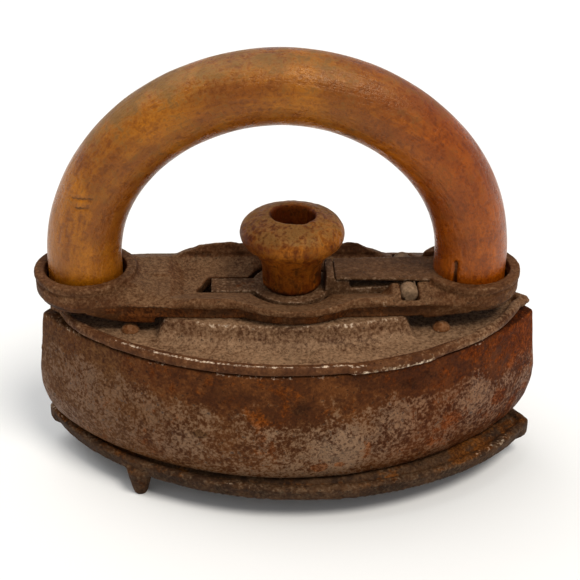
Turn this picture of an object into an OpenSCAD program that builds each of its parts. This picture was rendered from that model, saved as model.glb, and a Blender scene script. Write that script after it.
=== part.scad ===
// Cold-handle sad iron on its stand: a cast core with a cover, a bentwood grip in a cast
// frame with a knob-lifted latch, and a three-footed cast stand.
// Millimetres. +X runs from the left point of the iron to the right one, +Y away from the
// latch pin's visible end, +Z up. The origin is on the table, under the middle of the iron.

/* [Core] */
// Half length of the core at its widest level, middle to point
core_half_length = 80.3; // [78:0.1:82]
// Half width of the core at its widest level
core_half_width = 41.8; // [39:0.1:42.5]
// Height of the core's wall, sole to seam
core_height = 39; // [37:0.5:42]
// Thickness of the wall
wall = 4.5; // [3.5:0.1:5.5]
// Thickness of the sole
sole = 11; // [8:0.5:13]

/* [Cover] */
// Height of the raised seat above the cover plate
seat_rise = 6; // [5.5:0.1:6.5]
// Half length of the seat at its foot
seat_half_length = 39.4; // [38:0.1:41]
// Half width of the seat at its foot
seat_half_width = 26.2; // [25:0.1:27]
// How far along X the seat sits from the core's middle
seat_x = -1.9; // [-2.2:0.1:-1.6]
// Height of the rounded rim above the seam
bead_rise = 2.8; // [2:0.1:3.5]

/* [Handle] */
// How far along X the handle sits from the core's middle
handle_x = -3.7; // [-4:0.1:-3.4]
// Half the distance between the two legs of the grip
grip_reach = 60; // [59:0.1:61]
// Height of the arch above the ends of its curve
grip_rise = 55.7; // [54:0.1:58]
// Radius of the wood
grip_r = 11.4; // [11:0.1:11.8]
// Outer radius of a socket
socket_r = 16; // [15.5:0.1:16.5]

/* [Latch] */
// Distance from the knob to the pivot pin
latch_reach = 35.9; // [35:0.1:36.5]
// Largest radius of the knob
knob_r = 16.3; // [15:0.1:17]
// Height of the knob
knob_height = 24.3; // [22:0.1:26]

/* [Stand] */
// Half length of the stand
stand_half_length = 79.6; // [78:0.1:81]
// Half width of the stand
stand_half_width = 42.4; // [41.5:0.1:43.5]
// How far the stand is turned under the iron, in degrees
stand_turn = -4.3; // [-5:0.1:0]
// Height of its feet
foot_height = 8.4; // [7.5:0.1:9]

/* [Hidden] */

rim_height = 5.2;                                // stand: outer rim, from its lower edge
sole_z = 13.5;                                   // stand's ledge, where the sole rests
seam_z = sole_z + core_height;                   // top of the wall
plate_z = seam_z + 0.5;                          // upper face of the cover plate
plate_t = 3;
seat_z = plate_z + seat_rise;                    // upper face of the seat
seat_t = 4;                                      // thickness of the seat's top
seat_sweep = 74;                                 // half length of the oval that gives its sides
rivet_spots = [for (sx = [-1, 1], sy = [-1, 1]) [-1.5 + sx * 48.2, sy * 12.6]];
rivet_r = 1.5;
pillar_r = 4;                                    // core's pillar round each rivet
leg_x = [handle_x - grip_reach, handle_x + grip_reach];
arch_z = 72;                                     // height at which the legs start to curve
socket_top = 68.8;
socket_floor = 62;
socket_bottom = 59.6;
socket_foot = 2.6;                               // height of the bevel round a socket's foot
crest_z = 66.8;                                  // top of the frame's front rim
back_crest_z = 68.8;                             // and of its back one
trough_z = 62.3;                                 // frame's upper face beside the latch
waist = 18.6;                                    // half width of the frame, clear of the knob
bulge = 23.8;                                    // and beside the knob
channel_half_width = 7;
slot_end = -29.6;                                // left end of the latch's slot, at its front edge
slot_slant = 3.9;                                // how much further right it ends at its back edge
plate_top = 62.3;                                // latch plate, upper face
plate_thick = 1.9;
tab = [-5, 3.4];                                 // its left arm, front and back edges
tab_end = -24.8;
knob_x = 0.4;
pin_x = knob_x + latch_reach;
pin_z = 64.3;
pin_r = 1.5;                                     // pivot pin inside the latch's eye
pin_head_r = 2.8;                                // its thicker ends, in the rims' notches
pin_half = 12.6;                                 // half the pin's length
spring_top = 67.6;
spring_t = 0.9;
catch_x = 27.6;                                  // catch: left face of its shank
catch_t = 2.6;
catch_nose = 2.6;                                // how far its nose points to +X
catch_bottom = 51.6;
catch_gap = 0.3;                                 // from the nose to the lip it belongs under
stud_r = 2.5;
well_r = 6.8;                                    // counterbore in the knob
well_floor = 73;
bore_gap = 0.05;
$fn = 96;

// Radius of the arc that gives a pointed oval its half length and half width.
function lens_r(hl, hw) = (hl * hl + hw * hw) / (2 * hw);

// Pointed oval whose side follows a profile of [inset, z] pairs, ends cut to a radius.
module lens(profile, hl, hw, end) {
    r = lens_r(hl, hw);
    first = profile[0];
    last = profile[len(profile) - 1];
    outline = concat([[0, first[1]]], [for (p = profile) [r - p[0], p[1]]], [[0, last[1]]]);
    intersection() {
        translate([0, r - hw, 0]) rotate_extrude($fn = 180) polygon(outline);
        translate([0, hw - r, 0]) rotate_extrude($fn = 180) polygon(outline);
        translate([0, 0, first[1] - 1]) cylinder(r = end, h = last[1] - first[1] + 2);
    }
}

module box(lo, hi) {
    translate(lo) cube(hi - lo);
}

// Prism across Y of an outline in X and Z.
module prism_y(points, half) {
    translate([0, half, 0]) rotate([90, 0, 0]) linear_extrude(2 * half) polygon(points);
}

module pin_y(r, half) {
    rotate([90, 0, 0]) cylinder(r = r, h = 2 * half, center = true);
}

module stand() {
    hl = stand_half_length + 3.4;
    hw = stand_half_width;
    bottom = foot_height;
    top = bottom + rim_height;
    feet = [[-46, -28], [-46, 28], [62, 0]];
    color([0.24, 0.17, 0.13]) rotate([0, 0, stand_turn]) {
        difference() {
            lens([[1.2, bottom], [0, top - 0.6], [0.6, top]], hl, hw, stand_half_length);
            // groove between the rim and the ledge
            difference() {
                lens([[2.8, top - 1.4], [2.8, top + 1]], hl, hw, stand_half_length - 2.8);
                lens([[5, top - 2], [5, top + 2]], hl, hw, stand_half_length - 5);
            }
            // the ledge's face and the sunk floor
            lens([[4.9, sole_z], [4.9, top + 1]], hl, hw, stand_half_length - 4.9);
            lens([[10, top - 3], [9, top + 1]], hl, hw, stand_half_length - 10);
            for (i = [-2:2])
                translate([i * 21, 0, bottom - 1]) intersection() {
                    cylinder(r = 24 - 3 * abs(i), h = rim_height + 2);
                    box([-6, -40, 0], [6, 40, rim_height + 2]);
                }
        }
        for (f = feet) translate([f[0], f[1], 0]) cylinder(r1 = 2.2, r2 = 4.4, h = bottom + 1);
    }
}

module core_casting() {
    hl = core_half_length + 0.6;
    hw = core_half_width;
    in = wall + 2;
    pillar_z = sole_z + sole - 1;
    color([0.42, 0.33, 0.27]) difference() {
        union() {
            difference() {
                lens([[4.9, sole_z], [3.6, sole_z + 1.6], [1.6, sole_z + 6], [0.2, sole_z + 12],
                      [0, sole_z + 18], [2.1, seam_z]], hl, hw, core_half_length);
                lens([[in, sole_z + sole], [in, seam_z + 1]], hl, hw, core_half_length);
            }
            // pillars up to the cover plate, for the rivets
            for (s = rivet_spots)
                translate([s[0], s[1], pillar_z]) cylinder(r = pillar_r, h = plate_z - plate_t - pillar_z);
        }
        for (s = rivet_spots)
            translate([s[0], s[1], plate_z - 16]) cylinder(r = rivet_r + bore_gap, h = 20);
    }
}

module core_filling() {
    in = wall + 2;
    color([0.78, 0.75, 0.70]) difference() {
        lens([[in, sole_z + sole], [in, plate_z - plate_t]],
             core_half_length + 0.6, core_half_width, 100);
        for (s = rivet_spots)
            translate([s[0], s[1], sole_z]) cylinder(r = pillar_r, h = core_height);
        // pocket that the catch hangs in
        box([slot_end - 3, -8, 47], [catch_x + 11, 8, plate_z]);
    }
}

// Raised seat on the cover: round-backed sides, sloped ends.
module seat() {
    low = plate_z - 1;
    e = seat_half_length;
    translate([seat_x, 0, 0]) intersection() {
        lens([[-1, low], [0, plate_z], [1.9, plate_z + 1.1], [3.4, plate_z + 3], [4, seat_z - 0.8],
              [4.8, seat_z]],
             seat_sweep, seat_half_width, seat_sweep - 2);
        prism_y([[-e - 1, low], [e + 1, low], [e, plate_z], [e - 2.4, seat_z - 0.6], [e - 3.2, seat_z],
                 [3.2 - e, seat_z], [2.4 - e, seat_z - 0.6], [-e, plate_z]], seat_half_width + 2);
    }
}

module top_cover() {
    hl = core_half_length + 0.6;
    hw = core_half_width;
    in = wall + 2.3;
    top = seam_z + bead_rise;
    low = plate_z - plate_t - 1;                 // just below the plate's underside
    lip_x = catch_x + catch_t + catch_nose + catch_gap;
    color([0.45, 0.35, 0.28]) difference() {
        union() {
            lens([[2.6, seam_z], [1.9, seam_z + 0.8], [1.9, top - 0.9], [3, top]],
                 hl, hw, core_half_length - 1.5);
            lens([[in, plate_z - plate_t], [in, seam_z + 0.2]], hl, hw, 100);
            seat();
        }
        // dish inside the rim
        difference() {
            lens([[6, plate_z], [4.4, top], [3.9, top + 1]], hl, hw, core_half_length - 6);
            seat();
        }
        // hollow under the seat
        translate([seat_x, 0, 0])
            lens([[6.5, low], [6.5, seat_z - seat_t]], seat_sweep, seat_half_width, seat_half_length - 7);
        // way in for the catch; its right edge is the lip, undercut below
        box([slot_end - 0.6, -5.5, low], [lip_x, 5.5, seat_z + 1]);
        box([lip_x - 1, -5.5, low], [lip_x + 2.4, 5.5, catch_bottom + 3.2]);
        for (s = rivet_spots)
            translate([s[0], s[1], low]) cylinder(r = rivet_r + bore_gap, h = plate_t + 6);
    }
}

module cover_rivets() {
    head_r = 2.95;
    head_h = 2.4;
    dome_r = (head_r * head_r + head_h * head_h) / (2 * head_h);
    color([0.52, 0.36, 0.24]) for (s = rivet_spots) translate([s[0], s[1], plate_z]) {
        translate([0, 0, -15]) cylinder(r = rivet_r, h = 15.5);
        intersection() {
            translate([0, 0, head_h - dome_r]) sphere(r = dome_r);
            cylinder(r = head_r, h = head_h + 1);
        }
    }
}

// Trough along the frame's upper side: level beside the latch, rising to the sockets and to the
// rims, where the back one stands up as a ridge.
module trough() {
    intersection() {
        translate([-50, 0, 0]) rotate([90, 0, 90]) linear_extrude(100)
            polygon([[-channel_half_width, trough_z], [channel_half_width, trough_z], [14, 64.8],
                     [15.4, 68], [15.4, 80], [1 - waist, 80], [1 - waist, crest_z - 0.2]]);
        prism_y([[-47, 71], [-33, trough_z], [28, trough_z], [31.2, 66], [31.2, 80], [-47, 80]], waist);
    }
    // well round the knob, steeper at the back
    for (side = [[-1, 35], [1, 26]])
        intersection() {
            translate([knob_x, 0, trough_z]) cylinder(r1 = 14, r2 = side[1], h = 7);
            translate([0, side[0] * 20, trough_z]) cube([80, 40, 20], center = true);
        }
}

// Slice of what is cut off beside one shoulder, square to X.
module shoulder_slice(x, length, inner_y, inner_z, outer_z) {
    outer_y = sign(inner_y) * (bulge + 1);
    translate([x, 0, 0]) rotate([90, 0, 90]) linear_extrude(length)
        polygon([[inner_y, inner_z], [outer_y, outer_z], [outer_y, 75], [inner_y, 75]]);
}

// The frame's upper edges fall away beside the pin and next to the left socket, over a ramp.
module shoulder(from, to, ramp_start) {
    for (side = [-1, 1]) {
        shoulder_slice(from, to - from, side * 9.5, crest_z, 61);
        hull() {
            shoulder_slice(ramp_start < from ? from : to - 0.1, 0.1, side * 9.5, crest_z, 61);
            shoulder_slice(ramp_start, 0.1, side * 9.5, back_crest_z + 2, back_crest_z);
        }
    }
}

// Side view of the frame between its sockets, for the line of one rim's top.
function side_view(rim) = concat(
    [[leg_x[0] + 1, seat_z], [leg_x[1] - 1, seat_z], [leg_x[1] - 1, 67.6], [pin_x + 8, 67.6],
     [pin_x + 4.5, 66.4], [pin_x - 5, 66.1]],
    rim,
    [[-45, 66], [leg_x[0] + 14, 68], [leg_x[0] + 1, 68]]);

module handle_frame() {
    x0 = leg_x[0];
    x1 = leg_x[1];
    sweep = 160;
    half_depth = (bulge + 1) / 2;
    front_rim = [[22, crest_z], [-26, crest_z], [-33, 66], [-39.5, 65]];
    back_rim = [[30, 67.2], [25, 68], [18, back_crest_z], [-16, back_crest_z], [-24, 68.2], [-31, 66.9],
                [-38, 65.9]];
    color([0.36, 0.27, 0.21]) difference() {
        union() {
            difference() {
                intersection() {
                    union() {
                        translate([handle_x, 0, 0])
                            lens([[1.9, seat_z], [1.4, seat_z + 1.4], [0, seat_z + 4], [0.4, crest_z - 1],
                                  [2, socket_top]], sweep, waist, 140);
                        translate([knob_x, 0, 0])
                            lens([[3, seat_z], [2.2, seat_z + 1.4], [0, seat_z + 4.4],
                                  [0.6, crest_z - 1.6], [2.4, socket_top]], 29.4, bulge, 40);
                    }
                    union() {
                        translate([0, -half_depth, 0]) prism_y(side_view(front_rim), half_depth);
                        translate([0, half_depth, 0]) prism_y(side_view(back_rim), half_depth);
                    }
                }
                shoulder(31.2, x1, 20);
                shoulder(x0, -36, -26);
            }
            for (x = leg_x) translate([x, 0, 0]) {
                translate([0, 0, socket_bottom]) cylinder(r1 = socket_r - 2, r2 = socket_r, h = socket_foot);
                translate([0, 0, socket_bottom + socket_foot])
                    cylinder(r = socket_r, h = socket_top - socket_bottom - socket_foot);
            }
            // skirts that hang down at both ends of the seat
            intersection() {
                translate([handle_x, 0, 0])
                    lens([[2.8, seat_z - 2.6], [1.6, seat_z + 0.4], [0.4, seat_z + 3]],
                         sweep, waist, 140);
                union() {
                    prism_y([[x0 + 2, seat_z], [x0 + 9, seat_z - 2], [x0 + 12, seat_z - 2.5],
                             [-42, seat_z - 2.5], [-41, seat_z + 3], [x0 + 2, seat_z + 3]], waist);
                    prism_y([[x1 - 2, seat_z + 0.4], [x1 - 13, seat_z - 1], [41, seat_z - 1.2],
                             [39, seat_z + 3], [x1 - 2, seat_z + 3]], waist);
                }
            }
        }
        trough();
        // slot for the latch's arm, and the wider opening round its ring
        translate([0, 0, seat_z - 1]) linear_extrude(socket_top - seat_z + 2)
            polygon([[slot_end, tab[0] - 0.7], [knob_x, tab[0] - 0.7], [knob_x, tab[1] + 0.7],
                     [slot_end + slot_slant, tab[1] + 0.7]]);
        translate([knob_x, 0, seat_z - 1]) cylinder(r = 14, h = 20);
        box([knob_x, -channel_half_width, seat_z - 1], [pin_x + 4, channel_half_width, socket_top + 1]);
        // notches for the pin
        for (dy = [-10.6, 10.6]) translate([0, dy, 0]) {
            translate([pin_x, 0, pin_z]) pin_y(pin_head_r + bore_gap, 4.8);
            box([pin_x - pin_head_r - bore_gap, -4.8, pin_z],
                [pin_x + pin_head_r + bore_gap, 4.8, socket_top + 1]);
        }
        // bed of the spring, from the channel into the right socket
        box([pin_x + 3, -8.3, spring_top - spring_t - 0.1], [x1 - 6, 8.3, socket_top + 1]);
        for (x = leg_x) translate([x, 0, 0]) {
            translate([0, 0, socket_floor]) cylinder(r = grip_r + 1.2, h = 20);
            translate([0, 0, socket_bottom - 4]) cylinder(r = 2.2, h = 8);
            translate([0, 0, socket_bottom - 0.01]) cylinder(r1 = 4, r2 = 2.2, h = 1.6);
            translate([0, 0, socket_bottom - 4]) cylinder(r = 4, h = 4);
        }
    }
}

// Solid arc of round bar in the X-Z plane.
module bar_arc(radius, r, from, to) {
    rotate([90, 0, 0]) rotate([0, 0, from])
        rotate_extrude(angle = to - from, $fn = 120) translate([radius, 0]) circle(r = r, $fn = 40);
}

module wooden_grip() {
    // A flatter crown about (0, -drop) between two tighter shoulders about (+-dx, 0); the shoulders
    // and the legs run a little way inside the piece above them, each 0.02 slimmer than it.
    dx = 8;
    shoulder_r = grip_reach - dx;
    k = grip_rise - shoulder_r;
    drop = (dx * dx - k * k) / (2 * k);
    turn = atan2(drop, dx);
    color([0.66, 0.42, 0.20]) difference() {
        union() {
            translate([handle_x, 0, arch_z]) {
                translate([0, 0, -drop]) bar_arc(grip_rise + drop, grip_r, turn, 180 - turn);
                translate([dx, 0, 0]) bar_arc(shoulder_r, grip_r - 0.02, 0, turn + 1);
                translate([-dx, 0, 0]) bar_arc(shoulder_r, grip_r - 0.02, 179 - turn, 180);
            }
            for (x = leg_x)
                translate([x, 0, socket_floor])
                    cylinder(r = grip_r - 0.04, h = arch_z - socket_floor + 0.5, $fn = 40);
        }
        for (x = leg_x) translate([x, 0, socket_floor - 1]) cylinder(r = 1.6, h = 9);
        // kerf that grips the spring's root
        box([leg_x[1] - 12, -8.3, spring_top - spring_t - 0.05],
            [leg_x[1] - 5.9, 8.3, spring_top + 0.05]);
    }
}

module grip_screws() {
    color([0.35, 0.31, 0.29]) for (x = leg_x) translate([x, 0, socket_bottom]) {
        difference() {
            cylinder(r1 = 3.9, r2 = 2.1, h = 1.6);
            box([-4, -0.5, -1], [4, 0.5, 0.7]);
        }
        cylinder(r = 1.6, h = 9.9);
    }
}

module latch_spring() {
    tip = 13.8;
    root = leg_x[1] - 6.1;
    color([0.38, 0.31, 0.26]) translate([0, 0, spring_top - spring_t]) linear_extrude(spring_t)
        polygon([[tip, -6.4], [root, -8], [root, 8], [tip, 6.4]]);
}

module latch_pin() {
    head_start = 8;
    shank = pin_half - 0.9;                      // where the rounding of its ends starts
    color([0.43, 0.36, 0.29]) translate([pin_x, 0, pin_z]) {
        pin_y(pin_r, head_start + 1);
        for (side = [0, 180]) rotate([90, 0, side]) {
            translate([0, 0, head_start]) cylinder(r = pin_head_r, h = shank - head_start);
            translate([0, 0, shank]) cylinder(r1 = pin_head_r, r2 = pin_head_r - 1, h = 0.9);
        }
    }
}

module latch_plate() {
    low = plate_top - plate_thick;
    arm_top = spring_top - spring_t - 0.2;
    nose_x = catch_x + catch_t + catch_nose;
    color([0.40, 0.32, 0.26]) difference() {
        union() {
            box([tab_end, tab[0], low], [knob_x - 8, tab[1], plate_top]);
            translate([knob_x, 0, low]) cylinder(r = 12.4, h = plate_thick);
            // arm to the pin, with a step under the spring's tip and an upright just short of it
            prism_y([[knob_x + 8, low], [pin_x, low + 1.9], [pin_x, pin_z + 1.6], [30, 64.4],
                     [18.4, 63.4], [18, arm_top], [13.9, arm_top], [13.2, 67.6], [11, 67.6],
                     [10.6, plate_top], [knob_x + 8, plate_top]], 6.2);
            translate([pin_x, 0, pin_z]) pin_y(2.2, 6.2);
            // catch: a shank through the seat, its nose just short of the lip
            prism_y([[catch_x, 63], [catch_x, catch_bottom], [nose_x - 0.8, catch_bottom],
                     [nose_x, catch_bottom + 0.8], [nose_x, catch_bottom + 2.2],
                     [catch_x + catch_t, catch_bottom + 2.8], [catch_x + catch_t, 63]], 4.5);
        }
        translate([pin_x, 0, pin_z]) pin_y(pin_r + bore_gap, 8);
        translate([knob_x, 0, low - 1]) cylinder(r = stud_r + bore_gap, h = 6);
        translate([knob_x, 0, low - 0.01]) cylinder(r1 = 5, r2 = stud_r + bore_gap, h = 1.6);
    }
}

module wooden_knob() {
    z0 = plate_top;
    top = z0 + knob_height;
    head_z = top - 6.2;                          // height of the widest ring
    neck = 9.3;
    head = [for (a = [-60:15:75]) [knob_r - 7.2 + 7.2 * cos(a), head_z + 5.6 * sin(a)]];
    color([0.50, 0.29, 0.14]) translate([knob_x, 0, 0]) rotate_extrude()
        polygon(concat([[stud_r + 0.1, z0], [neck - 0.5, z0], [neck, z0 + 1], [neck, z0 + 6],
                        [neck + 0.7, z0 + 9.2]],
                       head,
                       [[9, top - 0.1], [well_r + 0.6, top - 0.1], [well_r, top - 0.7],
                        [well_r, well_floor], [stud_r + 0.1, well_floor]]));
}

module knob_stud() {
    low = plate_top - plate_thick;
    color([0.33, 0.28, 0.25]) translate([knob_x, 0, 0]) {
        translate([0, 0, low]) cylinder(r1 = 4.9, r2 = stud_r - 0.02, h = 1.55);
        translate([0, 0, low]) cylinder(r = stud_r, h = 79 - low);
    }
}

module knob_washer() {
    color([0.33, 0.27, 0.23]) translate([knob_x, 0, well_floor]) difference() {
        cylinder(r = 5.3, h = 1);
        translate([0, 0, -1]) cylinder(r = stud_r + 0.1, h = 3);
    }
}

module knob_nut() {
    color([0.31, 0.24, 0.20]) translate([knob_x, 0, well_floor + 1]) difference() {
        rotate([0, 0, 20]) translate([-3.7, -3.7, 0]) cube([7.4, 7.4, 3]);
        translate([0, 0, -1]) cylinder(r = stud_r + bore_gap, h = 6);
    }
}

stand();
core_casting();
core_filling();
top_cover();
cover_rivets();
handle_frame();
wooden_grip();
grip_screws();
latch_spring();
latch_pin();
latch_plate();
wooden_knob();
knob_stud();
knob_washer();
knob_nut();
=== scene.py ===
"""Looks of a double-pointed sad iron with a detachable bentwood handle, on its cast stand.

Every piece is a finer, worn mesh that replaces its CAD node. Castings and small ironwork are even remeshes
of the CAD solids with rounded, dented and pitted surfaces; the core, grip, knob and spring are built from
their profiles. Lengths here are in millimetres, in the CAD frame, until a mesh is made.
"""
import math

import bpy
import numpy as np
from mathutils import Matrix, Vector


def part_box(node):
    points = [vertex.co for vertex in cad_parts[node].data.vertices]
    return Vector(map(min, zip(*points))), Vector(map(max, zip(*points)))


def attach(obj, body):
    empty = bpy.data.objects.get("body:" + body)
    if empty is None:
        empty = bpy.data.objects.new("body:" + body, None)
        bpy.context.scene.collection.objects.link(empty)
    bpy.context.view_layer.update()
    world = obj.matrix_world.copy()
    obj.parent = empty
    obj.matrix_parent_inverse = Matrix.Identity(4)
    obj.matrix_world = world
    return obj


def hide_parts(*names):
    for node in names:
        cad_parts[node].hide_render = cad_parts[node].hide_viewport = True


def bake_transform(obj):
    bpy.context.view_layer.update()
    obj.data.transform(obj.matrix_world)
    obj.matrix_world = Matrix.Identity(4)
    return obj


MM = 0.001

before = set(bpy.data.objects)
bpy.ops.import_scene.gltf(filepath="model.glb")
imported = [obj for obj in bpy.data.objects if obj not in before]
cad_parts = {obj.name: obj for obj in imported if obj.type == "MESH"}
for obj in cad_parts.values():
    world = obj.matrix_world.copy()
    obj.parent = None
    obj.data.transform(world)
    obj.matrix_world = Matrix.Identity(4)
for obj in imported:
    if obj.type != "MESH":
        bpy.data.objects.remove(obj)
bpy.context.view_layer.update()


def box_mm(node):
    """A CAD node's lowest and highest corners in millimetres."""
    low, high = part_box(node)
    return np.array(low) / MM, np.array(high) / MM


CORE_LOW, CORE_HIGH = box_mm("core_casting")
GRIP_LOW, GRIP_HIGH = box_mm("wooden_grip")
KNOB_LOW, KNOB_HIGH = box_mm("wooden_knob")
SPRING_LOW, SPRING_HIGH = box_mm("latch_spring")
SEAM_Z = CORE_HIGH[2]                                   # top of the core's wall
HALF_WIDTH = CORE_HIGH[1]
TIP = CORE_HIGH[0]
OVAL_HALF_LENGTH = TIP + 0.6                            # the core's pointed oval before its points are cut
HANDLE_X = (GRIP_LOW[0] + GRIP_HIGH[0]) / 2
LEG_REACH = 60.0                                        # half the distance between the grip's legs
GRIP_RADIUS = (GRIP_HIGH[0] - GRIP_LOW[0]) / 2 - LEG_REACH
TROUGH_Z = KNOB_LOW[2]                                  # the frame's upper face beside the knob
SPRING_HALF_WIDTH = (6.4, 8.0)                          # at its tip and at its root


# ---------------------------------------------------------------- fields over points

def fade(value, start, end):
    """0 before start, 1 after end, smooth between."""
    t = np.clip((value - start) / (end - start), 0, 1)
    return t * t * (3 - 2 * t)


def corner_value(i, j, k, seed):
    """A repeatable number from -1 to 1 for each corner of a cubic lattice."""
    h = (i * 374761393 + j * 668265263 + k * 1440662683 + seed * 1274126177) & 0xFFFFFFFF
    h = ((h ^ (h >> 13)) * 1274126177) & 0xFFFFFFFF
    return ((h ^ (h >> 16)) & 0xFFFFFF) / 0x800000 - 1


def noise(points, size, seed):
    """Smooth noise from -1 to 1 whose bumps are about size wide; size may be one number or three."""
    q = points / np.asarray(size, float) + 91.7 + 7.3 * seed
    cell = np.floor(q).astype(np.int64)
    f = q - cell
    f = f * f * (3 - 2 * f)
    total = 0
    for dx in (0, 1):
        for dy in (0, 1):
            for dz in (0, 1):
                weight = (f[:, 0] if dx else 1 - f[:, 0]) * (f[:, 1] if dy else 1 - f[:, 1])
                weight = weight * (f[:, 2] if dz else 1 - f[:, 2])
                corner = corner_value(cell[:, 0] + dx, cell[:, 1] + dy, cell[:, 2] + dz, seed)
                total = total + weight * corner
    return total


def layered(points, size, seed):
    """Noise with two finer layers added, each half as wide and half as strong as the one before."""
    return sum(noise(points, size / 2 ** i, seed + i) / 2 ** i for i in range(3))


def patch(points, centre, radius):
    """1 at a centre, falling smoothly to 0 at a distance of radius, which has a value for each axis."""
    distance = np.linalg.norm((points - np.array(centre)) / np.array(radius), axis=1)
    return 1 - fade(distance, 0.25, 1)


def patches(points, *parts):
    """The sum of patches, each given as its strength, centre and radius."""
    return sum(strength * patch(points, centre, radius) for strength, centre, radius in parts)


# ---------------------------------------------------------------- meshes

def points_of(mesh):
    """A mesh's vertices in millimetres."""
    co = np.empty(len(mesh.vertices) * 3)
    mesh.vertices.foreach_get("co", co)
    return co.reshape(-1, 3) / MM


def set_points(mesh, points):
    """Moves a mesh's vertices to points, which are in millimetres."""
    mesh.vertices.foreach_set("co", (points * MM).astype(np.float32).ravel())
    mesh.update()


def normals_of(mesh):
    normals = np.empty(len(mesh.vertices) * 3, np.float32)
    mesh.vertex_normals.foreach_get("vector", normals)
    return normals.reshape(-1, 3).astype(float)


def link(name, mesh):
    piece = bpy.data.objects.new(name, mesh)
    bpy.context.scene.collection.objects.link(piece)
    mesh.polygons.foreach_set("use_smooth", [True] * len(mesh.polygons))
    return piece


def soften(piece, factor, steps):
    """Applies a piece's modifiers and then that many smoothing steps."""
    smooth = piece.modifiers.new("Soften", "SMOOTH")
    smooth.factor = factor
    smooth.iterations = steps
    graph = bpy.context.evaluated_depsgraph_get()
    mesh = bpy.data.meshes.new_from_object(piece.evaluated_get(graph))
    piece.modifiers.clear()
    piece.data = mesh
    mesh.polygons.foreach_set("use_smooth", [True] * len(mesh.polygons))


def remeshed(node, voxel, rounding):
    """An even mesh of a CAD node, with its edges rounded by that many smoothing steps."""
    piece = link(node + "_worn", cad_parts[node].data.copy())
    piece.data.materials.clear()
    even = piece.modifiers.new("Even", "REMESH")
    even.mode = "VOXEL"
    even.voxel_size = voxel * MM
    soften(piece, 0.5, rounding)
    return piece


def from_rings(name, rings, closed_ends=True):
    """A mesh through rings of points, each an (n, 3) array; the ends are closed round their centres."""
    count, n = len(rings), len(rings[0])
    points = np.concatenate(rings)
    index = np.arange(count * n).reshape(count, n)
    after = np.roll(index, -1, axis=1)
    faces = np.stack([index[:-1], after[:-1], after[1:], index[1:]], axis=-1).reshape(-1, 4).tolist()
    if closed_ends:
        points = np.concatenate([points, [rings[0].mean(0), rings[-1].mean(0)]])
        faces += [[b, a, count * n] for a, b in zip(index[0].tolist(), after[0].tolist())]
        faces += [[a, b, count * n + 1] for a, b in zip(index[-1].tolist(), after[-1].tolist())]
    mesh = bpy.data.meshes.new(name)
    mesh.from_pydata((points * MM).tolist(), [], faces)
    mesh.update()
    return link(name, mesh)


def neighbour_mean(mesh, values, steps=1):
    """Values, each replaced by the mean over its vertex's neighbours, that many times."""
    edges = np.empty(len(mesh.edges) * 2, np.int64)
    mesh.edges.foreach_get("vertices", edges)
    a, b = edges.reshape(-1, 2).T
    count = len(mesh.vertices)
    degree = np.maximum(np.bincount(a, minlength=count) + np.bincount(b, minlength=count), 1)
    columns = values.reshape(count, -1)
    for _ in range(steps):
        sums = [np.bincount(a, c[b], count) + np.bincount(b, c[a], count) for c in columns.T]
        columns = np.stack([column / degree for column in sums], axis=1)
    return columns.reshape(values.shape)


def ridges(mesh):
    """Above 0 on outer edges, below 0 in hollows, about 1 at a sharp edge."""
    points = points_of(mesh)
    bend = points - neighbour_mean(mesh, points)
    out = np.einsum("ij,ij->i", bend, normals_of(mesh))
    out = neighbour_mean(mesh, out, 3)
    return out / max(np.percentile(np.abs(out), 98), 1e-9)


def rough_cast(piece, seed, swell=0.12, lumps=0.05, pits=0.12, grain=0.025):
    """Pushes a casting's surface in and out, in millimetres: waves, lumps, rust pits and sand grain."""
    mesh = piece.data
    points, normals = points_of(mesh), normals_of(mesh)
    push = swell * noise(points, 17, seed) + lumps * layered(points, 4.5, seed + 3)
    pitted = fade(noise(points, 9, seed + 8), -0.1, 0.5)
    push -= pits * fade(noise(points, 1.9, seed + 7), 0.45, 0.8) * pitted
    push += grain * noise(points, 0.9, seed + 9)
    set_points(mesh, points + normals * push[:, None])


def paint(piece, name, values):
    """Stores one number per vertex for the material to read."""
    layer = piece.data.attributes.new(name, "FLOAT", "POINT")
    layer.data.foreach_set("value", np.broadcast_to(values, len(piece.data.vertices)).astype(np.float32))


def finish_piece(piece, node, body, material):
    """Gives a piece its material, hides the CAD node it stands in for, and parents it to what it moves
    with.
    """
    piece.data.materials.append(material)
    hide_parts(node)
    if body:
        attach(piece, body)


# ---------------------------------------------------------------- materials

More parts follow.
